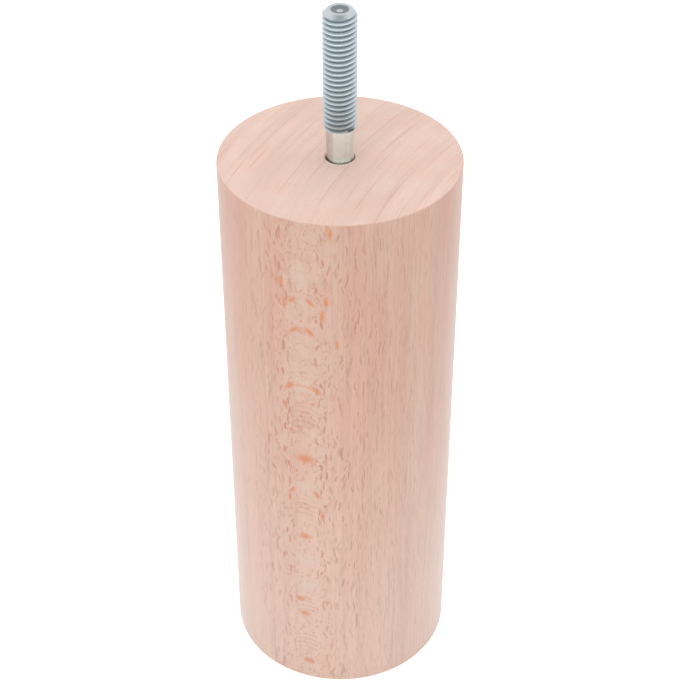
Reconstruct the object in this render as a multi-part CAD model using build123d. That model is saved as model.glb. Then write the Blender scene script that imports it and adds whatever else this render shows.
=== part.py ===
"""Turned beech furniture leg with a double-ended steel screw in its top end.

The leg stands on z = 0 with its axis on +Z. All sizes are in millimetres.
"""
from build123d import *
import os
from math import cos, radians, tan

# Leg: one solid turned cylinder
leg_diameter = 58.0
leg_height = 150.0
top_edge_bevel = 0.5  # both rims are only broken with sandpaper
foot_edge_bevel = 0.3

# Stud: the screw's upper end, an M8 machine thread given as the cylinder over its crests
stud_diameter = 8.0
stud_reach = 38.0  # from the leg's top face to the end of the stud
stud_chamfer = 1.0
stud_shoulder_angle = 60.0  # from the axis, where the thread ends in a shoulder on the shank
dimple_diameter = 4.6  # shallow hollow left in the stud's end
dimple_depth = 0.5

# Shank: the plain stretch between the two threads
shank_diameter = 6.5
shank_above_wood = 8.1
shank_below_wood = 2.0

# Wood thread: the screw's lower end, a coarse single-start right-hand thread
wood_thread_diameter = 8.0
wood_core_diameter = 5.6
wood_thread_length = 40.0
wood_thread_pitch = 3.6
wood_thread_angle = 60.0  # between the two flanks
wood_crest_width = 0.25
wood_thread_fade = 1.5  # length over which the thread runs out below the shank
tip_length = 6.0
tip_diameter = 0.8

# Fit of the screw in the wood
pilot_clearance = 0.15  # between the shank and the wall of the pilot hole
thread_clearance = 0.05  # between the wood thread and the groove that it cuts
pilot_extra_depth = 4.0  # from the screw's tip to the shoulder of the drill point
drill_point_angle = 118.0

# Worked out from the sizes above
leg_radius = leg_diameter / 2
stud_radius = stud_diameter / 2
shank_radius = shank_diameter / 2
crest_radius = wood_thread_diameter / 2
core_radius = wood_core_diameter / 2
pilot_radius = shank_radius + pilot_clearance

stud_end_z = leg_height + stud_reach
stud_shoulder_z = leg_height + shank_above_wood
stud_thread_z = stud_shoulder_z + (stud_radius - shank_radius) / tan(radians(stud_shoulder_angle))
wood_thread_top_z = leg_height - shank_below_wood
tip_z = wood_thread_top_z - wood_thread_length
pilot_floor_z = tip_z - pilot_extra_depth

flank_slope = tan(radians(wood_thread_angle / 2))  # half width gained for each mm of depth
flank_root_depth = 0.8  # how far the flanks run on inside the core
shoulder_step = 0.05  # how far inside the shank the faded thread ends
clear_of_thread = 2.0  # how far the trimming shapes reach past the crest


def turned(*outline):
    """A solid of revolution about Z from (radius, z) points."""
    profile = Plane.XZ * Polyline(*outline, close=True)
    return revolve(make_face(profile), Axis.Z)


def wood_thread(grow=0.0):
    """The threaded lower end of the screw, or with grow the space that it takes up in the wood."""
    crest = crest_radius + grow
    core = core_radius + grow
    root = core_radius - flank_root_depth
    crest_half = wood_crest_width / 2 + grow / cos(radians(wood_thread_angle / 2))
    root_half = crest_half + (crest - root) * flank_slope

    # one pitch of thread runs past each end, and the two trims take it off
    start_z = tip_z - wood_thread_pitch
    height = wood_thread_length + 2 * wood_thread_pitch
    section = Plane.XZ * Pos(0, start_z) * Polyline(
        (root, -root_half),
        (crest, -crest_half),
        (crest, crest_half),
        (root, root_half),
        close=True,
    )
    helix = Helix(pitch=wood_thread_pitch, height=height, radius=crest_radius, center=(0, 0, start_z))
    ridge = sweep(make_face(section), path=helix, is_frenet=True)
    rod_align = (Align.CENTER, Align.CENTER, Align.MIN)
    rod_bottom = start_z - wood_thread_pitch
    rod_height = height + 2 * wood_thread_pitch
    rod = Pos(0, 0, rod_bottom) * Cylinder(core, rod_height, align=rod_align)

    # below: the cone of the point, carried on past the crest
    outside = crest + clear_of_thread
    point_radius = tip_diameter / 2 + grow
    point_z = tip_z - grow
    point_run = tip_length / (crest_radius - tip_diameter / 2)
    point_trim = turned(
        (0, rod_bottom - 1),
        (outside, rod_bottom - 1),
        (outside, point_z + (outside - point_radius) * point_run),
        (point_radius, point_z),
        (0, point_z),
    )
    # above: the cone on which the thread fades out under the shank
    faded = shank_radius - shoulder_step + grow
    fade_run = wood_thread_fade / (crest_radius - shank_radius + shoulder_step)
    fade_trim = turned(
        (0, wood_thread_top_z),
        (faded, wood_thread_top_z),
        (outside, wood_thread_top_z - (outside - faded) * fade_run),
        (outside, rod_bottom + rod_height + 1),
        (0, rod_bottom + rod_height + 1),
    )
    return rod + ridge - point_trim - fade_trim


def make_hanger_bolt():
    """One piece of steel: machine thread, plain shank, wood thread and point."""
    upper_end = turned(
        (0, wood_thread_top_z),
        (shank_radius, wood_thread_top_z),
        (shank_radius, stud_shoulder_z),
        (stud_radius, stud_thread_z),
        (stud_radius, stud_end_z - stud_chamfer),
        (stud_radius - stud_chamfer, stud_end_z),
        (0, stud_end_z),
    )
    # a ball of this radius leaves a dimple of the stated width and depth
    ball_radius = ((dimple_diameter / 2) ** 2 + dimple_depth**2) / (2 * dimple_depth)
    ball = Pos(0, 0, stud_end_z + ball_radius - dimple_depth) * Sphere(ball_radius)
    return wood_thread() + (upper_end - ball)


def make_leg_body():
    """The solid wood, less the drilled pilot hole and the groove that the screw cuts in its wall."""
    wood = turned(
        (0, 0),
        (leg_radius - foot_edge_bevel, 0),
        (leg_radius, foot_edge_bevel),
        (leg_radius, leg_height - top_edge_bevel),
        (leg_radius - top_edge_bevel, leg_height),
        (0, leg_height),
    )
    drill_point = pilot_radius / tan(radians(drill_point_angle / 2))
    above = leg_height + pilot_radius  # the drill comes in from above the top face
    pilot_hole = turned(
        (0, pilot_floor_z - drill_point),
        (pilot_radius, pilot_floor_z),
        (pilot_radius, above),
        (0, above),
    )
    return wood - pilot_hole - wood_thread(grow=thread_clearance)


nodes = {
    "leg_body": make_leg_body,
    "hanger_bolt": make_hanger_bolt,
}

os.makedirs("parts", exist_ok=True)
for name, make in nodes.items():
    export_step(make(), f"parts/{name}.step")
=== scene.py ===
from math import atan2, cos, pi, radians, sin
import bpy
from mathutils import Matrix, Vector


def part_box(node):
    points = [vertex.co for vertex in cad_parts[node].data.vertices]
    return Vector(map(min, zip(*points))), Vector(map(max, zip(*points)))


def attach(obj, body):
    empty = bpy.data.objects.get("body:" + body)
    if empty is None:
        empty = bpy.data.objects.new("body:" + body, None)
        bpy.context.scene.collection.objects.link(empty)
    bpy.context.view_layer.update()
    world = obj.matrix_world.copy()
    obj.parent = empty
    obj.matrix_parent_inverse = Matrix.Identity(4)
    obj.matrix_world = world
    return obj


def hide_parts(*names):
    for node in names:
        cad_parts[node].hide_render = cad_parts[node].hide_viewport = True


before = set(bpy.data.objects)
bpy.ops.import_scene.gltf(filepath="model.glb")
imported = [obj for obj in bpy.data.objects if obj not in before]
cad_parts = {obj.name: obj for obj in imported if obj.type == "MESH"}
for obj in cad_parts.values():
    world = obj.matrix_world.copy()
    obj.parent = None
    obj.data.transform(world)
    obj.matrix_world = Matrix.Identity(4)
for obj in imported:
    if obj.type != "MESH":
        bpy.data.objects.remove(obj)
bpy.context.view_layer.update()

from types import SimpleNamespace

import bpy
from mathutils import Vector

mm = 0.001
close = 0.02 * mm  # how near a point has to lie to a height or a radius to count as on it
exact = 0.001 * mm  # the same, where another row of points lies near
sliver = 0.002 * mm  # edges shorter than this are merged away

# Leg
leg_low, leg_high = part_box("leg_body")
leg_radius = (leg_high[0] - leg_low[0]) / 2
leg_top = leg_high[2]
leg_sides = 288
top_rim_ease = 0.5 * mm
foot_rim_ease = 0.3 * mm
mouth_ease = 0.2 * mm
pilot_radius = 3.4 * mm
pilot_below_tip = 4 * mm
plain_above_thread = 0.5 * mm  # of the pilot hole's wall, below its straight upper stretch
drill_point_height = 2.04 * mm

# Hanger bolt
bolt_low, bolt_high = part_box("hanger_bolt")
bolt_sides = 72
thread_rows = 16  # of faces, in each turn of a thread
spare_turns = 2  # below and above a threaded stretch, pressed flat against its ends
stud_radius = (bolt_high[0] - bolt_low[0]) / 2
stud_root_radius = 3.28 * mm
stud_pitch = 1.25 * mm
stud_crest_share = 0.125  # of the pitch, that the flat crest takes
stud_root_share = 0.25
stud_turn = 6 / thread_rows  # turns the thread so that its grooves lie where the photograph shows them
stud_chamfer = 1.0 * mm
stud_groove_end = leg_top + 8.76 * mm
stud_groove_fade = 0.07  # turns
shank_radius = 3.25 * mm
shoulder_bottom = leg_top + 8.1 * mm
shoulder_top = leg_top + 8.53 * mm
dimple_radius = 2.3 * mm
dimple_depth = 0.5 * mm
dimple_rings = 5
wood_thread_radius = 4.0 * mm
wood_core_radius = 2.8 * mm
wood_thread_pitch = 3.6 * mm
wood_crest_share = 0.07
wood_root_share = 0.46
wood_thread_top = leg_top - 2 * mm
wood_thread_fade = 1.5 * mm
wood_core_fade = 0.8 * mm
wood_thread_clearance = 0.05 * mm
tip_length = 6.0 * mm
tip_radius = 0.4 * mm


def deselect_all():
    bpy.ops.object.select_all(action="DESELECT")


def edit(piece):
    """Opens a piece for editing with nothing in its mesh selected."""
    deselect_all()
    piece.select_set(True)
    bpy.context.view_layer.objects.active = piece
    bpy.ops.object.mode_set(mode="EDIT")
    bpy.ops.mesh.select_all(action="DESELECT")


def leave_edit():
    bpy.ops.object.mode_set(mode="OBJECT")


def start_selecting(kind):
    bpy.ops.mesh.select_mode(type=kind)
    bpy.ops.mesh.select_all(action="DESELECT")
    leave_edit()


def select_edges(piece, wanted):
    """Selects the edges both of whose ends pass the test, in edit mode."""
    start_selecting("EDGE")
    ends = piece.data.vertices
    for edge in piece.data.edges:
        edge.select = all(wanted(ends[i].co) for i in edge.vertices)
    bpy.ops.object.mode_set(mode="EDIT")


def select_faces(piece, wanted):
    """Selects the faces whose middle and normal pass the test, in edit mode."""
    start_selecting("FACE")
    for face in piece.data.polygons:
        face.select = wanted(face.center, face.normal)
    bpy.ops.object.mode_set(mode="EDIT")


def join_pieces(keep, added):
    deselect_all()
    keep.select_set(True)
    added.select_set(True)
    bpy.context.view_layer.objects.active = keep
    bpy.ops.object.join()
    return keep


def across(point):
    return (point[0] ** 2 + point[1] ** 2) ** 0.5


def near(value, target, within=close):
    return abs(value - target) < within


def at_height(*heights):
    """A test for the points that lie exactly at one of the heights."""
    return lambda point: any(near(point.z, height, exact) for height in heights)


def on_ring(height, radius):
    """A test for the points of the ring at this height and radius."""
    return lambda point: near(point.z, height) and near(across(point), radius)


def threaded_stretch(name, bottom, top, pitch, radius_at):
    """A threaded tube between two heights, whose rows of faces follow the helix.

    radius_at gives the surface's radius from the phase of the thread, 0 to 1 from crest to crest,
    the height of the point, and the height of the groove that it lies in.
    """
    start = bottom - spare_turns * pitch
    upright = (pi / 2, 0, 0)
    deselect_all()
    bpy.ops.mesh.primitive_plane_add(size=pitch, location=(1, 0, start + pitch / 2), rotation=upright)
    tube = bpy.context.object
    tube.name = name
    bpy.ops.object.transform_apply(location=True, rotation=True)
    # one upright edge of the plane is kept, a pitch high, and divided into the thread's rows
    edit(tube)
    leave_edit()
    for vertex in tube.data.vertices:
        vertex.select = vertex.co.x < 1
    bpy.ops.object.mode_set(mode="EDIT")
    bpy.ops.mesh.delete(type="VERT")
    bpy.ops.mesh.select_all(action="SELECT")
    bpy.ops.mesh.subdivide(number_cuts=thread_rows - 1)
    leave_edit()
    for vertex in tube.data.vertices:
        vertex.co.x = 1
        vertex.co.y = 0
    screw = tube.modifiers.new("turns", "SCREW")
    screw.axis = "Z"
    screw.angle = 2 * pi
    screw.screw_offset = pitch
    screw.iterations = int((top - bottom) / pitch) + 2 * spare_turns
    screw.steps = bolt_sides
    screw.render_steps = bolt_sides
    screw.use_merge_vertices = True
    screw.merge_threshold = exact
    screw.use_normal_calculate = True
    bpy.ops.object.modifier_apply(modifier=screw.name)
    for vertex in tube.data.vertices:
        place = vertex.co
        angle = atan2(place.y, place.x)
        phase = ((place.z - start) / pitch - angle / (2 * pi)) % 1.0
        height = min(max(place.z, bottom), top)
        radius = radius_at(phase, height, place.z - (phase - 0.5) * pitch)
        vertex.co = (radius * cos(angle), radius * sin(angle), height)
    edit(tube)
    bpy.ops.mesh.select_all(action="SELECT")
    bpy.ops.mesh.remove_doubles(threshold=sliver)
    bpy.ops.mesh.dissolve_degenerate(threshold=sliver)
    leave_edit()
    return tube


def vee(phase, crest, root, crest_share, root_share):
    """A thread's outline over one pitch: a flat crest, straight flanks and a flat root."""
    from_crest = abs(phase - round(phase))
    rise = (from_crest - crest_share / 2) / (0.5 - crest_share / 2 - root_share / 2)
    rise = min(max(rise, 0.0), 1.0)
    return crest + (root - crest) * rise


def stud_surface(phase, height, groove_height):
    """The M8 thread: chamfered at the end of the stud, its last groove ending just above the shoulder."""
    turned = (phase + stud_turn) % 1.0
    groove_height = groove_height - (turned - phase) * stud_pitch
    cut = (groove_height - stud_groove_end) / (stud_groove_fade * stud_pitch)
    cut = min(max(cut, 0.0), 1.0)
    root = stud_radius + (stud_root_radius - stud_radius) * cut
    thread = vee(turned, stud_radius, root, stud_crest_share, stud_root_share)
    from_end = bolt_high[2] - height
    chamfered = stud_radius - stud_chamfer + from_end
    up_shoulder = (height - shoulder_bottom) / (shoulder_top - shoulder_bottom)
    shoulder = shank_radius + (stud_radius - shank_radius) * up_shoulder
    return max(min(thread, chamfered, shoulder), stud_radius - stud_chamfer)


def wood_screw_surface(phase, height, groove_height, clearance=0.0):
    """The coarse wood thread: pointed at the tip and fading out under the shank."""
    thread = vee(phase, wood_thread_radius, wood_core_radius, wood_crest_share, wood_root_share)
    pointed = tip_radius + (wood_thread_radius - tip_radius) * (height - bolt_low[2]) / tip_length
    below_top = wood_thread_top - height
    fading = shank_radius + (wood_thread_radius - shank_radius) * below_top / wood_thread_fade
    core = wood_core_radius + (shank_radius - wood_core_radius) * (1 - below_top / wood_core_fade)
    return min(max(thread, core), pointed, fading) + clearance


def pilot_surface(phase, height, groove_height):
    """The wall of the pilot hole, with the groove that the wood thread has cut in it."""
    groove = wood_screw_surface(phase, height, groove_height, wood_thread_clearance)
    return max(pilot_radius, groove)


def turn_leg():
    """The turned beech cylinder, with its eased rims and its pilot hole."""
    deselect_all()
    bpy.ops.mesh.primitive_cylinder_add(
        vertices=leg_sides, radius=leg_radius, depth=leg_top, location=(0, 0, leg_top / 2)
    )
    leg = bpy.context.object
    leg.name = "leg"
    bpy.ops.object.transform_apply(location=True)

    # the mouth of the pilot hole: the top face is inset to it and pushed down to the thread
    edit(leg)
    select_faces(leg, lambda middle, normal: normal.z > 0.9)
    flat = (leg_radius - pilot_radius) * cos(pi / leg_sides)
    bpy.ops.mesh.inset(thickness=flat, use_even_offset=True)
    straight_end = wood_thread_top + plain_above_thread
    bpy.ops.mesh.extrude_region_move(TRANSFORM_OT_translate={"value": (0, 0, straight_end - leg_top)})
    bpy.ops.mesh.delete(type="ONLY_FACE")
    leave_edit()

    # the wall of the hole below it, with the thread's groove, and the drill point under that
    wall = threaded_stretch("pilot_wall", bolt_low[2], wood_thread_top, wood_thread_pitch, pilot_surface)
    join_pieces(leg, wall)
    edit(leg)
    at_joint = at_height(wood_thread_top, straight_end)
    select_edges(leg, lambda point: at_joint(point) and near(across(point), pilot_radius))
    bpy.ops.mesh.bridge_edge_loops()
    at_tip = at_height(bolt_low[2])
    select_edges(leg, lambda point: at_tip(point) and near(across(point), pilot_radius))
    bpy.ops.mesh.extrude_region_move(TRANSFORM_OT_translate={"value": (0, 0, -pilot_below_tip)})
    bpy.ops.mesh.extrude_region_move(TRANSFORM_OT_translate={"value": (0, 0, -drill_point_height)})
    bpy.ops.mesh.merge(type="CENTER")

    select_edges(leg, on_ring(leg_top, leg_radius))
    bpy.ops.mesh.bevel(offset=top_rim_ease, segments=4, affect="EDGES")
    select_edges(leg, on_ring(0, leg_radius))
    bpy.ops.mesh.bevel(offset=foot_rim_ease, segments=3, affect="EDGES")
    select_edges(leg, on_ring(leg_top, pilot_radius))
    bpy.ops.mesh.bevel(offset=mouth_ease, segments=3, affect="EDGES")
    bpy.ops.mesh.select_all(action="SELECT")
    bpy.ops.mesh.normals_make_consistent(inside=False)
    leave_edit()
    bpy.ops.object.shade_smooth_by_angle(angle=radians(20))
    return leg


def dimple_depth_at(share):
    """How deep the hollow in the stud's end is, at a share of the way from its rim to its middle."""
    return dimple_depth * (1 - (1 - share) ** 2)


def make_hanger_bolt():
    """The double-ended screw: machine thread, plain shank and wood thread, closed at both ends."""
    bolt = threaded_stretch(
        "hanger_bolt_turned", shoulder_bottom, bolt_high[2], stud_pitch, stud_surface
    )
    screw = threaded_stretch(
        "wood_screw", bolt_low[2], wood_thread_top, wood_thread_pitch, wood_screw_surface
    )
    join_pieces(bolt, screw)

    # the plain shank joins the two threads
    edit(bolt)
    select_edges(bolt, at_height(shoulder_bottom, wood_thread_top))
    bpy.ops.mesh.bridge_edge_loops()

    # the end of the stud: a flat ring round a shallow hollow
    select_edges(bolt, at_height(bolt_high[2]))
    bpy.ops.mesh.edge_face_add()
    bpy.ops.mesh.select_mode(type="FACE")
    bpy.ops.mesh.inset(thickness=stud_radius - stud_chamfer - dimple_radius)
    for ring in range(1, dimple_rings):
        bpy.ops.mesh.inset(thickness=dimple_radius / dimple_rings)
        deeper = dimple_depth_at(ring / dimple_rings) - dimple_depth_at((ring - 1) / dimple_rings)
        bpy.ops.transform.translate(value=(0, 0, -deeper))

    # the blunt point
    select_edges(bolt, at_height(bolt_low[2]))
    bpy.ops.mesh.edge_face_add()
    bpy.ops.mesh.select_all(action="SELECT")
    bpy.ops.mesh.normals_make_consistent(inside=False)
    leave_edit()
    bpy.ops.object.shade_smooth_by_angle(angle=radians(35))
    return bolt


def add_node(tree, kind, **settings):
    added = tree.nodes.new(kind)
    for name, value in settings.items():
        setattr(added, name, value)
    return added


def feed(tree, socket, value):
    """Gives a socket a plain value, or another node's output."""
    if isinstance(value, bpy.types.NodeSocket):
        tree.links.new(value, socket)
    else:
        socket.default_value = value


def maths(tree, operation, *values):
    step = add_node(tree, "ShaderNodeMath", operation=operation)
    for socket, value in zip(step.inputs, values):
        feed(tree, socket, value)
    return step.outputs[0]


def times(tree, first, *others):
    for other in others:
        first = maths(tree, "MULTIPLY", first, other)
    return first


def strongest(tree, first, *others):
    for other in others:
        first = maths(tree, "MAXIMUM", first, other)
    return first


def unsigned(tree, value):
    return maths(tree, "ABSOLUTE", value)


def squared(tree, value):
    return maths(tree, "POWER", unsigned(tree, value), 2.0)


def away_from(tree, value, target):
    """How far a value is from the target, on either side."""
    return unsigned(tree, maths(tree, "SUBTRACT", value, target))


def ease(tree, value, start, end):
    """0 up to start and 1 from end on, with a soft step between them."""
    step = add_node(tree, "ShaderNodeMapRange", interpolation_type="SMOOTHSTEP")
    feed(tree, step.inputs["Value"], value)
    feed(tree, step.inputs["From Min"], start)
    feed(tree, step.inputs["From Max"], end)
    return step.outputs["Result"]


def between(tree, value, low, high):
    """Brings a value from 0 to 1 into a range."""
    step = add_node(tree, "ShaderNodeMapRange")
    feed(tree, step.inputs["Value"], value)
    feed(tree, step.inputs["To Min"], low)
    feed(tree, step.inputs["To Max"], high)
    return step.outputs["Result"]


def colour_mix(tree, share, under, over, kind="MIX"):
    mix = add_node(tree, "ShaderNodeMix", data_type="RGBA", blend_type=kind)
    feed(tree, mix.inputs[0], share)
    feed(tree, mix.inputs[6], under)
    feed(tree, mix.inputs[7], over)
    return mix.outputs[2]


def shaded(tree, colour, value, darkest, lightest, share=1.0):
    """Darkens and lightens a colour as a value goes from 0 to 1."""
    level = between(tree, value, darkest, lightest)
    grey = add_node(tree, "ShaderNodeCombineColor")
    for socket in grey.inputs:
        feed(tree, socket, level)
    return colour_mix(tree, share, colour, grey.outputs[0], "MULTIPLY")


def scaled(tree, place, sizes, turn=0.0, shift=(0, 0, 0)):
    """A place measured in cells of the given sizes, turned about the upright axis first."""
    if turn:
        turned = add_node(tree, "ShaderNodeMapping")
        feed(tree, turned.inputs["Vector"], place)
        turned.inputs["Rotation"].default_value = (0, 0, turn)
        place = turned.outputs["Vector"]
    cells = add_node(tree, "ShaderNodeMapping")
    feed(tree, cells.inputs["Vector"], place)
    cells.inputs["Scale"].default_value = [1 / size for size in sizes]
    cells.inputs["Location"].default_value = shift
    return cells.outputs["Vector"]


def cloud(tree, place, cell, detail=2.0, roughness=0.5, distortion=0.0, output="Fac"):
    """Soft noise in cells of the given sizes."""
    noise = add_node(tree, "ShaderNodeTexNoise")
    feed(tree, noise.inputs["Vector"], scaled(tree, place, cell))
    noise.inputs["Scale"].default_value = 1.0
    noise.inputs["Detail"].default_value = detail
    noise.inputs["Roughness"].default_value = roughness
    noise.inputs["Distortion"].default_value = distortion
    return noise.outputs[output]


def parts_of(tree, vector):
    split = add_node(tree, "ShaderNodeSeparateXYZ")
    feed(tree, split.inputs[0], vector)
    return split.outputs


def vector_of(tree, x, y, z):
    made = add_node(tree, "ShaderNodeCombineXYZ")
    for socket, value in zip(made.inputs, (x, y, z)):
        feed(tree, socket, value)
    return made.outputs[0]


def vector_maths(tree, operation, first, second, output="Vector"):
    step = add_node(tree, "ShaderNodeVectorMath", operation=operation)
    feed(tree, step.inputs[0], first)
    feed(tree, step.inputs[1], second)
    return step.outputs[output]


def from_axis(tree, x, y):
    return vector_maths(tree, "LENGTH", vector_of(tree, x, y, 0), (0, 0, 0), "Value")


def raise_surface(tree, shader, height, strength, distance):
    bump = add_node(tree, "ShaderNodeBump")
    bump.inputs["Strength"].default_value = strength
    bump.inputs["Distance"].default_value = distance
    feed(tree, bump.inputs["Height"], height)
    feed(tree, shader.inputs["Normal"], bump.outputs["Normal"])


def new_material(name):
    material = bpy.data.materials.new(name)
    material.use_nodes = True
    tree = material.node_tree
    return material, tree, tree.nodes["Principled BSDF"]


# Beech, with its lengths in mm. The wood rays are thin upright sheets, and the growth rings cross them
# squarely. Turned into the leg, the rays lie flush with its surface along two lines, where they show as
# broad flakes.
top_height = leg_top / mm
hole_radius = pilot_radius / mm
ray_turn = radians(18.2)  # from the leg's own axes to the sheets
ray_stray = 0.85  # how far a ray wanders out of its sheet
spindle_stray = 1.8
ring_turn = radians(27)
ring_radius = 150
flake_face = (-sin(ray_turn), -cos(ray_turn), 0)

beech_rosy = (0.690, 0.400, 0.308, 1)
beech_sandy = (0.690, 0.465, 0.368, 1)
# painted bounce light from the floor, on the side towards the foot
beech_painted_bounce = (0.812, 0.572, 0.470, 1)
beech_end = (0.765, 0.552, 0.474, 1)
beech_end_warm = (0.757, 0.520, 0.430, 1)
beech_end_line = (0.640, 0.350, 0.265, 1)
ray_brown = (0.500, 0.245, 0.170, 1)
ray_red = (0.560, 0.225, 0.150, 1)
flake_pale = (0.730, 0.505, 0.412, 1)
flake_orange = (0.710, 0.285, 0.145, 1)
patch_pale = (0.735, 0.560, 0.462, 1)
# painted light and painted shade round the mouth of the pilot hole
mouth_painted_light = (0.860, 0.720, 0.620, 1)
mouth_painted_shade = (0.240, 0.130, 0.090, 1)
pore_brown = (0.420, 0.210, 0.160, 1)

# cells of the noise in the wood: along the rays, across them, and upright
wander_cell = (8, 1.8, 3.0)
fibre_cell = (0.5, 0.5, 16)
pore_cell = (0.30, 0.26, 2.6)
patch_cell = (9, 9, 60)
swirl_cell = (2.6, 6, 4.0)
outline_cell = (0.6, 2, 1.1)
ragged_cell = (0.8, 0.8, 0.8)
ring_line_cell = (0.42, 24, 90)  # this one and the next: across the growth rings, along them, and upright
ring_band_cell = (3.2, 30, 150)

# where each thing sets in, and where it is full
end_grain_slope = (0.5, 0.9)
flush_slope = (0.955, 0.985)
front_depth = (-20, -24)
calm_left = (-8, -16)
calm_right = (10, 20)
calm_right_share = 0.45
calm_least = 0.5
pore_level = (0.64, 0.74)
ring_line_level = (0.57, 0.70)
flake_level = (0.52, 0.60)
outline_level = 0.50  # of the swirl that the flakes are cut from
outline_width = (0.050, 0.012)
outline_breaks = (0.48, 0.60)
chains_inside = (2.4, 3.6)  # from the middle of the flake face
chains_outside = (10.0, 5.0)
patch_level = (0.35, 0.65)
paler_down = (150, -25)
paler_down_share = 0.85
fainter_down = (70, 10)
faintest = 0.65
mouth_edge = (0.35, 0.2)  # past the wall of the pilot hole
mouth_light_reach = (1.0, 0.4)
mouth_depth = (1.2, 0.7)  # below the top face
mouth_front = (-1.8, -3.0)
mouth_aside = (2.7, 3.3)
mouth_halfway = (2.2, 1.2)

# how much of the wood's colour each mark covers, from 0 to 1
ring_line_on_end = 0.52
ring_line_on_side = 0.13
pore_share = 0.22
flake_share = 0.40
outline_share = 0.44
spindle_share = 0.78
rung_share = 0.30
bow_share = 0.50
patch_share = 0.75
mouth_light_share = 0.80
mouth_shade_share = 0.70

# Flecks that stand out on the front: the way across the flake face, the height, and the radius.
# A pair lies on both sides of the face's middle, at the ends of one broad flake.
fleck_pairs = (
    (2.2, 128.2, 1.25),
    (1.9, 119.7, 1.45),
    (3.3, 102.4, 1.60),
    (3.3, 68.6, 1.30),
)
fleck_droop = 0.8  # how far a pair's flecks slope down, for each unit away from the middle
wide_flecks = (
    (0.0, 122.5, 0.60),
    (0.3, 80.0, 2.60),
    (-2.0, 75.5, 0.70),
    (0.0, 53.5, 1.80),
    (-1.7, 30.1, 1.60),
    (-0.2, 24.8, 1.60),
    (0.3, 6.5, 1.70),
    (-3.2, 88.6, 0.80),
    (2.6, 98.0, 0.70),
)
tall_flecks = (
    (4.9, 124.6, 0.70),
    (5.8, 129.3, 0.55),
    (-4.2, 126.6, 0.60),
    (-4.8, 132.5, 0.55),
    (6.9, 147.6, 0.62),
    (-4.4, 96.0, 0.50),
    (4.6, 61.5, 0.50),
    (-4.0, 66.0, 0.50),
    (8.3, 116.5, 0.45),
)
wide_squash = 1.5
tall_squash = 0.3
pale_patches = (
    (0.0, 135.0, 3.4),
    (0.2, 103.5, 3.0),
    (0.4, 71.0, 2.4),
    (0.4, 45.0, 2.6),
    (0.6, 35.5, 2.4),
)
fleck_bows = (  # a thin arch that joins a pair: half its width, and its height
    (1.9, 120.2),
    (3.3, 103.2),
    (1.5, 31.0),
)
fleck_spread = 1.35
fleck_ragged = (1.3, 1.3, 0)
bow_thickness = (0.80, 0.10)
rung_gap = 1.6
rung_arch = 0.1
rung_level = (0.86, 0.99)
rung_reach = (3.4, 2.6)
rung_stretches = (  # middle and half height of each stretch of thin lines across the flake face
    (94.0, 5.0),
    (63.5, 3.5),
    (28.0, 3.0),
    (14.0, 5.0),
)


def wood_places(tree):
    """Where a point lies in the wood, how the surface cuts the wood there, and its small variations."""
    source = add_node(tree, "ShaderNodeTexCoord")
    normal = source.outputs["Normal"]
    wood = SimpleNamespace(place=source.outputs["Object"])
    wood.end_grain = ease(tree, unsigned(tree, parts_of(tree, normal)[2]), *end_grain_slope)
    wood.side_grain = maths(tree, "SUBTRACT", 1.0, wood.end_grain)
    wood.facing = unsigned(tree, vector_maths(tree, "DOT_PRODUCT", normal, flake_face, "Value"))
    wood.flush = times(tree, ease(tree, wood.facing, *flush_slope), wood.side_grain)

    wood.in_mm = scaled(tree, wood.place, (mm, mm, mm), turn=ray_turn)
    wood.ring_way, wood.ray_gap, wood.height = parts_of(tree, wood.in_mm)
    wood.from_middle = unsigned(tree, wood.ring_way)
    wood.front = times(tree, ease(tree, wood.ray_gap, *front_depth), wood.side_grain)

    wood.wander = maths(tree, "SUBTRACT", cloud(tree, wood.in_mm, wander_cell), 0.5)
    wood.fibre = cloud(tree, wood.in_mm, fibre_cell, detail=3, roughness=0.6)
    wood.pores = ease(tree, cloud(tree, wood.in_mm, pore_cell, detail=1), *pore_level)
    wood.patches = cloud(tree, wood.in_mm, patch_cell)

    # the grain is calmer on both sides of the flakes, more so on the left
    far_left = ease(tree, wood.ring_way, *calm_left)
    far_right = times(tree, ease(tree, wood.ring_way, *calm_right), calm_right_share)
    wood.calm = between(tree, strongest(tree, far_left, far_right), 1.0, calm_least)
    return wood


def ray_sheets(tree, place, gap, tall, thick, reach, seed):
    """Wood rays in the plane across their sheets: slim ellipses, each of its own size.

    place holds the way across the sheets and the height. Gives how far a point is inside a ray, 0 at
    its edge, and a chance value that is the same all over one ray.
    """
    cell = scaled(tree, place, (gap, tall, 1), shift=(seed, seed * 1.7, 0))
    cells = add_node(tree, "ShaderNodeTexVoronoi", voronoi_dimensions="2D", feature="F1")
    feed(tree, cells.inputs["Vector"], cell)
    cells.inputs["Scale"].default_value = 1.0
    cells.inputs["Randomness"].default_value = 1.0
    chance = add_node(tree, "ShaderNodeSeparateColor")
    feed(tree, chance.inputs[0], cells.outputs["Color"])
    off_x, off_y, _ = parts_of(tree, vector_maths(tree, "SUBTRACT", cell, cells.outputs["Position"]))
    half_thick = between(tree, chance.outputs[0], 0.5 * thick / gap, 1.3 * thick / gap)
    half_reach = between(tree, chance.outputs[1], 0.4 * reach / tall, 1.2 * reach / tall)
    off_x = squared(tree, maths(tree, "DIVIDE", off_x, half_thick))
    off_y = squared(tree, maths(tree, "DIVIDE", off_y, half_reach))
    return maths(tree, "SUBTRACT", 1.0, maths(tree, "ADD", off_x, off_y)), chance.outputs[2]


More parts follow.
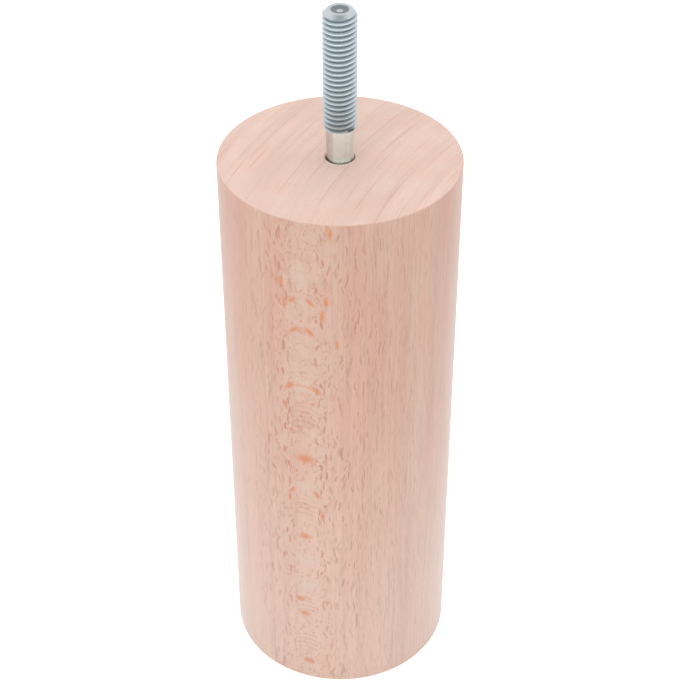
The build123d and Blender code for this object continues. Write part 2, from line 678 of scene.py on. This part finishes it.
def ray_dashes(tree, wood):
    """The rays where the surface cuts across them: short dashes, which wander a little."""
    strayed = maths(tree, "ADD", wood.ray_gap, times(tree, wood.wander, ray_stray))
    place = vector_of(tree, strayed, wood.height, 0)
    broad, broad_chance = ray_sheets(tree, place, gap=0.80, tall=6.2, thick=0.125, reach=3.3, seed=3.0)
    small, small_chance = ray_sheets(tree, place, gap=0.34, tall=3.6, thick=0.085, reach=1.9, seed=11.0)
    broad = times(tree, ease(tree, broad, 0.0, 0.6), ease(tree, broad_chance, 0.35, 1.0))
    small = times(tree, ease(tree, small, 0.0, 0.6), ease(tree, small_chance, 0.1, 1.4))
    return strongest(tree, broad, small)


def growth_rings(tree, wood):
    """Thin dark lines and broad soft bands, both slightly curved."""
    ring_place = scaled(tree, wood.place, (mm, mm, mm), turn=ring_turn)
    across_rings, along_rings, _ = parts_of(tree, ring_place)
    curve = times(tree, along_rings, along_rings, 0.5 / ring_radius)
    place = vector_of(tree, maths(tree, "SUBTRACT", across_rings, curve), along_rings, wood.height)
    line = ease(tree, cloud(tree, place, ring_line_cell, detail=1.5), *ring_line_level)
    band = cloud(tree, place, ring_band_cell)
    return line, band


def flush_figure(tree, wood):
    """Where the rays lie flush: pale flakes with broken outlines, between chains of slim spindles."""
    swirl = cloud(tree, wood.in_mm, swirl_cell, distortion=0.4)
    flake = times(tree, ease(tree, swirl, *flake_level), wood.flush)
    outline = ease(tree, away_from(tree, swirl, outline_level), *outline_width)
    broken = ease(tree, cloud(tree, wood.in_mm, outline_cell, detail=1), *outline_breaks)
    outline = times(tree, outline, broken, wood.flush)

    sway = maths(tree, "ADD", wood.ring_way, times(tree, wood.wander, spindle_stray))
    place = vector_of(tree, sway, wood.height, 0)
    spindle, chance = ray_sheets(tree, place, gap=1.20, tall=3.9, thick=0.36, reach=1.9, seed=5.0)
    spindles = times(tree, ease(tree, spindle, 0.0, 0.8), ease(tree, chance, 0.10, 0.8))
    chains = ease(tree, wood.from_middle, *chains_inside)
    chains = times(tree, chains, ease(tree, wood.from_middle, *chains_outside))
    return flake, outline, times(tree, spindles, chains, wood.side_grain)


def ladder(tree, wood):
    """Thin arched lines across the flake face, one above the other, on the stretches that have them."""
    arched = maths(tree, "ADD", wood.height, times(tree, squared(tree, wood.ring_way), rung_arch))
    arched = maths(tree, "ADD", arched, wood.wander)
    wave = unsigned(tree, maths(tree, "SINE", times(tree, arched, pi / rung_gap)))
    stretches = 0.0
    for middle, half in rung_stretches:
        stretch = ease(tree, away_from(tree, wood.height, middle), half, half * 0.6)
        stretches = strongest(tree, stretches, stretch)
    inside = ease(tree, wood.from_middle, *rung_reach)
    return times(tree, ease(tree, wave, *rung_level), stretches, inside, wood.front)


def flecks(tree, way, height, shake, spots, squash):
    """Flecks on the flake face, each with a ragged outline.

    squash is their width for each unit of height.
    """
    place = vector_maths(tree, "ADD", vector_of(tree, way, times(tree, height, squash), 0), shake)
    found = 0.0
    for middle, up, radius in spots:
        away = vector_maths(tree, "DISTANCE", place, (middle, up * squash, 0), "Value")
        found = strongest(tree, found, ease(tree, away, radius * fleck_spread, 0.0))
    return found


def front_flecks(tree, wood):
    """The flecks and bows that stand out on the front, and the smooth pale patches among them."""
    ragged = cloud(tree, wood.in_mm, ragged_cell, output="Color")
    shake = vector_maths(tree, "SUBTRACT", ragged, (0.5, 0.5, 0.5))
    shake = vector_maths(tree, "MULTIPLY", shake, fleck_ragged)
    half_shake = vector_maths(tree, "MULTIPLY", shake, (0.5, 0.5, 0))
    drooping = maths(tree, "ADD", wood.height, times(tree, wood.from_middle, fleck_droop))
    drooped_pairs = [(middle, up + fleck_droop * middle, radius) for middle, up, radius in fleck_pairs]
    pairs = flecks(tree, wood.from_middle, drooping, shake, drooped_pairs, wide_squash)
    wide = flecks(tree, wood.ring_way, wood.height, shake, wide_flecks, wide_squash)
    tall = flecks(tree, wood.ring_way, wood.height, half_shake, tall_flecks, tall_squash)
    spotted = strongest(tree, pairs, wide, tall)

    shaken = vector_maths(tree, "ADD", vector_of(tree, wood.ring_way, wood.height, 0), shake)
    shaken_way, shaken_height, _ = parts_of(tree, shaken)
    for half_width, up in fleck_bows:
        sag = times(tree, squared(tree, shaken_way), 1.0 / half_width**2)
        off_bow = away_from(tree, maths(tree, "ADD", shaken_height, sag), up)
        within = ease(tree, wood.from_middle, half_width, half_width * 0.8)
        bow = times(tree, ease(tree, off_bow, *bow_thickness), within, bow_share)
        spotted = strongest(tree, spotted, bow)
    spotted = times(tree, spotted, wood.front, between(tree, wood.fibre, 0.85, 1.35))
    patches = flecks(tree, wood.ring_way, wood.height, shake, pale_patches, 1.0)
    return spotted, times(tree, patches, wood.front)


def ground_colour(tree, wood):
    """The side, rosy above and paler towards the foot with painted bounce light from the floor, and the
    end grain with its ring lines.
    """
    ring_line, ring_band = growth_rings(tree, wood)
    patchy = ease(tree, wood.patches, *patch_level)
    side = colour_mix(tree, patchy, beech_rosy, beech_sandy)
    # painted light: the side grows paler towards the foot, as if lit from the floor below
    painted_bounce = times(tree, ease(tree, wood.height, *paler_down), paler_down_share)
    side = colour_mix(tree, painted_bounce, side, beech_painted_bounce)
    end = colour_mix(tree, patchy, beech_end, beech_end_warm)
    end = colour_mix(tree, times(tree, ring_line, ring_line_on_end), end, beech_end_line)
    ground = colour_mix(tree, wood.end_grain, side, end)

    plain_side = times(tree, wood.side_grain, between(tree, wood.flush, 1.0, 0.15))
    ground = colour_mix(tree, times(tree, ring_line, plain_side, ring_line_on_side), ground, ray_brown)
    ground = shaded(tree, ground, ring_band, 0.90, 1.10)
    fibrous = times(tree, between(tree, wood.flush, 1.0, 0.4), between(tree, wood.end_grain, 1.0, 0.4))
    fibrous = times(tree, fibrous, wood.calm)
    ground = shaded(tree, ground, wood.fibre, 0.77, 1.23, fibrous)
    return colour_mix(tree, times(tree, wood.pores, pore_share), ground, pore_brown)


def mouth_light_and_shade(tree, wood):
    """Round the mouth of the pilot hole: painted light in front, and painted shade of the gap at the
    sides.
    """
    left_right, front_back, _ = parts_of(tree, scaled(tree, wood.place, (mm, mm, mm)))
    away = from_axis(tree, left_right, front_back)
    past_wall = maths(tree, "SUBTRACT", away, hole_radius)
    near_top = ease(tree, maths(tree, "SUBTRACT", top_height, wood.height), *mouth_depth)
    lit_in_front = times(tree, ease(tree, past_wall, *mouth_light_reach), near_top)
    lit_in_front = times(tree, lit_in_front, ease(tree, front_back, *mouth_front))
    shaded_at_sides = times(tree, ease(tree, past_wall, *mouth_edge), near_top)
    shaded_at_sides = times(tree, shaded_at_sides, ease(tree, unsigned(tree, left_right), *mouth_aside))
    shaded_at_sides = times(tree, shaded_at_sides, ease(tree, unsigned(tree, front_back), *mouth_halfway))
    return lit_in_front, shaded_at_sides


def beech():
    """Bare sanded beech: its ground colour, its marks, its gloss and its relief."""
    material, tree, shader = new_material("beech")
    wood = wood_places(tree)
    rays = ray_dashes(tree, wood)
    flake, outline, spindles = flush_figure(tree, wood)
    spotted, patches = front_flecks(tree, wood)
    lit_in_front, shaded_at_sides = mouth_light_and_shade(tree, wood)

    # the dashes are faint on the end grain, on the flakes, where they turn away and towards the foot
    faint_below = between(tree, ease(tree, wood.height, *fainter_down), 1.0, faintest)
    dashes = times(tree, rays, faint_below, between(tree, wood.side_grain, 0.06, 1.0))
    dashes = times(tree, dashes, between(tree, wood.flush, 0.80, 0.25), wood.calm)
    dashes = times(tree, dashes, between(tree, ease(tree, wood.facing, 0.30, 0.85), 0.55, 1.0))

    colour = ground_colour(tree, wood)
    marks = (
        (ray_brown, dashes, 1.0),
        (flake_pale, flake, flake_share),
        (ray_red, outline, outline_share),
        (ray_red, times(tree, spindles, faint_below), spindle_share),
        (ray_red, ladder(tree, wood), rung_share),
        (patch_pale, patches, patch_share),
        (flake_orange, spotted, 1.0),
        # painted light and painted shade round the mouth of the pilot hole
        (mouth_painted_light, lit_in_front, mouth_light_share),
        (mouth_painted_shade, shaded_at_sides, mouth_shade_share),
    )
    for mark_colour, mark, share in marks:
        colour = colour_mix(tree, times(tree, mark, share), colour, mark_colour)
    feed(tree, shader.inputs["Base Color"], colour)

    lustre = times(tree, flake, 0.12)
    roughness = maths(tree, "SUBTRACT", between(tree, wood.fibre, 0.50, 0.66), lustre)
    feed(tree, shader.inputs["Roughness"], roughness)
    shader.inputs["Specular IOR Level"].default_value = 0.45
    shader.inputs["Sheen Weight"].default_value = 0.55
    shader.inputs["Sheen Roughness"].default_value = 0.42
    sunk = times(tree, maths(tree, "ADD", rays, wood.pores), 0.5)
    raise_surface(tree, shader, maths(tree, "SUBTRACT", wood.fibre, sunk), 0.25, 0.05 * mm)
    return material


# Zinc plate, with its lengths in mm
zinc_bright = (0.620, 0.680, 0.710, 1)
zinc_cloudy = (0.540, 0.615, 0.645, 1)
zinc_shank = (0.780, 0.940, 0.960, 1)
# painted shade, in this colour and the next three: the shank's left side, the grooves, the dimple's slope
# and the run-out
zinc_shank_shaded_side = (0.650, 0.710, 0.710, 1)
zinc_groove_shade = (0.350, 0.410, 0.435, 1)
zinc_hollow_shade = (0.130, 0.160, 0.170, 1)
zinc_run_out_shade = (0.060, 0.050, 0.055, 1)
hollow_shade_share = 0.80
run_out_shade_share = 0.85
cloudy_cell = (1.1, 1.1, 1.1)
drawn_cell = (0.25, 0.25, 3)
lengthwise_cell = (2.4, 2.4, 80)
groove_depth = (0.15, 0.62)  # below the crests
groove_outside = (2.6, 2.9)  # the dimple lies inside this radius
thread_below_end = (0.05, 0.2)
dimple_below_end = (0.7, 0.5)
dimple_rim = (2.35, 1.9)
dimple_middle = (0.5, 0.9)
shank_shade_side = (-1.2, -2.0)
run_out_thickness = (0.30, 0.12)
run_out_left = (1.5, 2.1)
run_out_right = (3.5, 3.0)
run_out_front = (-0.6, -1.2)
stud_end = bolt_high[2] / mm
chamfer_apex = stud_end + (stud_radius - stud_chamfer) / mm  # where the chamfer's cone would close
run_out_height = top_height + 8.8


def zinc():
    """Bright zinc plate: a little cloudy, with painted shade in the grooves, the dimple, the run-out and
    the shank's left side.
    """
    material, tree, shader = new_material("zinc_plate")
    place = add_node(tree, "ShaderNodeTexCoord").outputs["Object"]
    in_mm = scaled(tree, place, (mm, mm, mm))
    x, y, height = parts_of(tree, in_mm)
    away = from_axis(tree, x, y)
    cloudy = cloud(tree, in_mm, cloudy_cell, detail=3)
    drawn = cloud(tree, in_mm, drawn_cell)

    # the grooves of the thread, found by how far they lie below its crests
    on_stud = ease(tree, height, shoulder_bottom / mm, shoulder_top / mm)
    below_end = maths(tree, "SUBTRACT", stud_end, height)
    on_thread = times(tree, on_stud, ease(tree, below_end, *thread_below_end))
    crest = maths(tree, "MINIMUM", stud_radius / mm, maths(tree, "SUBTRACT", chamfer_apex, height))
    groove = ease(tree, maths(tree, "SUBTRACT", crest, away), *groove_depth)
    groove = times(tree, groove, on_thread, ease(tree, away, *groove_outside))

    # painted shade on the slope of the dimple, round its bright middle
    in_dimple = times(tree, ease(tree, away, *dimple_rim), ease(tree, below_end, *dimple_below_end))
    rim_shade = times(tree, in_dimple, ease(tree, away, *dimple_middle))

    # painted shade where the last groove runs out, at one side of the shoulder, standing in for its
    # hollow
    run_out = ease(tree, away_from(tree, height, run_out_height), *run_out_thickness)
    run_out = times(tree, run_out, ease(tree, x, *run_out_left), ease(tree, x, *run_out_right))
    run_out = times(tree, run_out, ease(tree, y, *run_out_front))

    lengthwise = ease(tree, cloud(tree, in_mm, lengthwise_cell, detail=1), 0.35, 0.65)
    # painted shade: the shank's left side is darker
    shank = colour_mix(tree, ease(tree, x, *shank_shade_side), zinc_shank, zinc_shank_shaded_side)
    shank = shaded(tree, shank, lengthwise, 0.90, 1.10)
    stud = colour_mix(tree, ease(tree, cloudy, 0.4, 0.65), zinc_bright, zinc_cloudy)
    metal = colour_mix(tree, on_stud, shank, stud)
    metal = shaded(tree, metal, cloudy, 0.85, 1.15)
    metal = colour_mix(tree, times(tree, rim_shade, hollow_shade_share), metal, zinc_hollow_shade)
    # painted shade darkens the grooves of the thread
    metal = colour_mix(tree, groove, metal, zinc_groove_shade)
    metal = colour_mix(tree, times(tree, run_out, run_out_shade_share), metal, zinc_run_out_shade)
    feed(tree, shader.inputs["Base Color"], metal)
    roughness = maths(tree, "ADD", between(tree, drawn, 0.24, 0.36), times(tree, groove, 0.15))
    feed(tree, shader.inputs["Roughness"], roughness)
    shader.inputs["Metallic"].default_value = 1.0
    raise_surface(tree, shader, maths(tree, "ADD", drawn, cloudy), 0.08, 0.02 * mm)
    return material


# Studio
background_white = 1.0
floor_size = 4
floor_gap = 0.05 * mm  # keeps the floor's plane out of the foot's
floor_glow = 0.55  # brings the floor up to white where it is seen directly
ambient_light = 0.60
dark_side = 0.38  # how bright the unlit side of the room, behind the camera, is in reflections
dark_side_way = (0, -0.94, 0.34)
dark_side_edge = (0.45, 0.85)
key_place = (-0.30, -0.9, 1.0)
key_target = (0, 0, 0.1)
key_size = 1.5
key_power = 6.4
top_place = (0.1, 0.2, 1.3)
top_target = (0, 0, 0.15)
top_size = 1.8
top_power = 8.1
aim = Vector((-0.08, 0, 95.69)) * mm
eye = Vector((-0.08, -339.13, 358.02)) * mm
camera_roll = radians(-0.10)
camera_lens = 89.39


def seen_directly(tree, path):
    """1 for rays that come from the camera, a reflection or a transmission, and 0 for the rest."""
    kinds = ("Is Camera Ray", "Is Glossy Ray", "Is Transmission Ray")
    return strongest(tree, *(path.outputs[kind] for kind in kinds))


def light_room():
    """A white room, whose light on the object is softer than its white is to look at."""
    world = bpy.data.worlds.new("white_room")
    bpy.context.scene.world = world
    world.use_nodes = True
    tree = world.node_tree
    tree.nodes.clear()
    path = add_node(tree, "ShaderNodeLightPath")
    way = add_node(tree, "ShaderNodeTexCoord").outputs["Generated"]
    towards_dark = vector_maths(tree, "DOT_PRODUCT", way, dark_side_way, "Value")
    behind_camera = times(tree, ease(tree, towards_dark, *dark_side_edge), path.outputs["Is Glossy Ray"])
    shown = times(tree, background_white, between(tree, behind_camera, 1.0, dark_side))
    strength = add_node(tree, "ShaderNodeMix", data_type="FLOAT")
    feed(tree, strength.inputs[0], seen_directly(tree, path))
    feed(tree, strength.inputs[2], ambient_light)
    feed(tree, strength.inputs[3], shown)
    light = add_node(tree, "ShaderNodeBackground")
    light.inputs["Color"].default_value = (1, 1, 1, 1)
    feed(tree, light.inputs["Strength"], strength.outputs[0])
    out = add_node(tree, "ShaderNodeOutputWorld")
    tree.links.new(light.outputs[0], out.inputs["Surface"])


def softbox(name, place, target, size, power):
    deselect_all()
    bpy.ops.object.light_add(type="AREA", location=place)
    lamp = bpy.context.object
    lamp.name = name
    lamp.data.shape = "SQUARE"
    lamp.data.size = size
    lamp.data.energy = power
    lamp.visible_glossy = False  # metal reflects the white room, without a brighter square in it
    direction = Vector(target) - Vector(place)
    lamp.rotation_euler = direction.to_track_quat("-Z", "Y").to_euler()


def lay_floor():
    deselect_all()
    bpy.ops.mesh.primitive_plane_add(size=floor_size, location=(0, 0, -floor_gap))
    floor = bpy.context.object
    floor.name = "floor"
    material, tree, shader = new_material("white_floor")
    shader.inputs["Base Color"].default_value = (0.9, 0.9, 0.9, 1)
    shader.inputs["Roughness"].default_value = 0.9
    shader.inputs["Specular IOR Level"].default_value = 0.0
    shader.inputs["Emission Color"].default_value = (1, 1, 1, 1)
    direct = seen_directly(tree, add_node(tree, "ShaderNodeLightPath"))
    feed(tree, shader.inputs["Emission Strength"], times(tree, direct, floor_glow))
    floor.data.materials.append(material)


def place_camera():
    deselect_all()
    bpy.ops.object.camera_add(location=eye)
    camera = bpy.context.object
    camera.name = "camera"
    camera.data.lens = camera_lens
    camera.data.sensor_width = 36
    camera.data.clip_start = 0.01
    camera.rotation_euler = (aim - eye).to_track_quat("-Z", "Y").to_euler()
    camera.rotation_euler.rotate_axis("Z", camera_roll)
    bpy.context.scene.camera = camera


bpy.context.scene.view_settings.view_transform = "Standard"

leg = turn_leg()
leg.data.materials.append(beech())
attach(leg, "root")
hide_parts("leg_body")

bolt = make_hanger_bolt()
bolt.data.materials.append(zinc())
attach(bolt, "root")
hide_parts("hanger_bolt")

lay_floor()
light_room()
softbox("key", key_place, key_target, key_size, key_power)
softbox("top", top_place, top_target, top_size, top_power)
place_camera()
